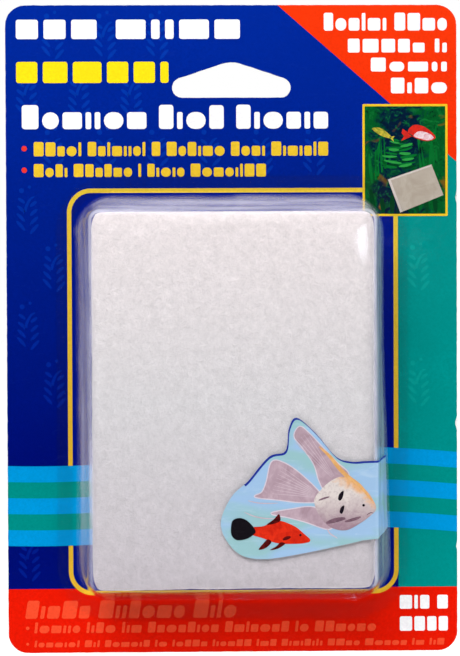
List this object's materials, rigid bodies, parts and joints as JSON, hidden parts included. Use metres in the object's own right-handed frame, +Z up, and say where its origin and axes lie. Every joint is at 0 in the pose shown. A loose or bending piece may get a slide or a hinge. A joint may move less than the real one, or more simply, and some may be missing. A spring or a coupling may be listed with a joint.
{
  "type": "carded scrubber pad",
  "caption": "Blister card with rounded corners and a delta hang slot, holding a white fibre scrubbing pad under a clear drafted blister with a die-cut label.",
  "frame": {"origin": "top of the hang slot, on the card's back face, where a peg carries the pack", "axes": "+X across the card to the right seen from the front, +Y into the card's back, +Z up; the pack's face looks along -Y"},
  "size_m": [0.1238, 0.0201, 0.1778],
  "materials": {
    "printed_board": "satin",
    "seal_lacquer": "satin",
    "clear_film": "gloss",
    "white_fibre": "matte",
    "label_film": "satin"
  },
  "bodies": {
    "card": {"backing_card": "printed_board", "heat_seal_band": "seal_lacquer"},
    "blister": {"blister": "clear_film", "fish_label": "label_film"},
    "pad": {"scrubber_pad": "white_fibre"}
  },
  "joints": [
    {"name": "blister_lift", "type": "slide", "parent": "card", "child": "blister", "axis": [0, -1, 0], "range_m": [0, 0.06]},
    {"name": "pad_lift", "type": "slide", "parent": "card", "child": "pad", "axis": [0, -1, 0], "range_m": [0, 0.03]}
  ],
  "couplings": [
    {"joint": "pad_lift", "follows": "blister_lift", "ratio": 0.5}
  ]
}
